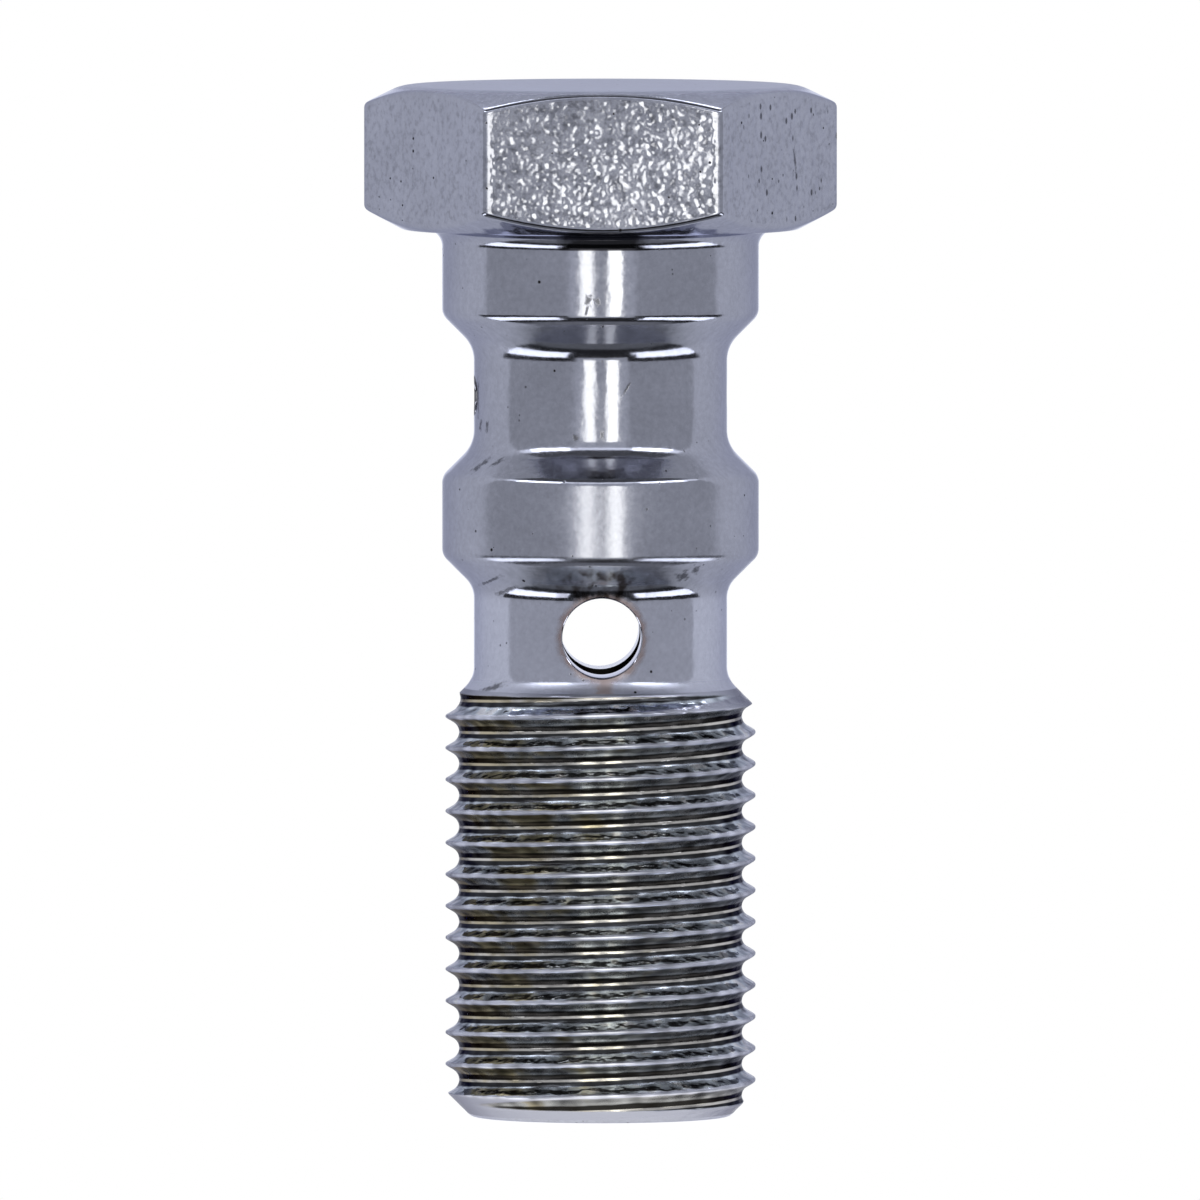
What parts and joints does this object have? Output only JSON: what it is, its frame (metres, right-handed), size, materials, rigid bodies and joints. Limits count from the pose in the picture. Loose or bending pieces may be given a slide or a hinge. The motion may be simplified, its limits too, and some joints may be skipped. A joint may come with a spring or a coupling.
{
  "type": "banjo bolt",
  "caption": "Hexagon-head banjo bolt with annular grooves, cross holes, an axial bore from the tip and a fine threaded end, for joining banjo fluid fittings.",
  "frame": {"origin": "on the bolt's axis, in the plane of the bearing face under the head", "axes": "+Z along the axis towards the head; the head's front flat faces -Y; the lower cross hole runs along Y and the upper one about 4 degrees off X"},
  "size_m": [0.015, 0.013, 0.0326],
  "materials": {
    "plated_steel": "bright zinc plating on turned steel, satin, with faint tool marks"
  },
  "bodies": {
    "root": {"banjo_bolt": "plated_steel"}
  },
  "joints": []
}
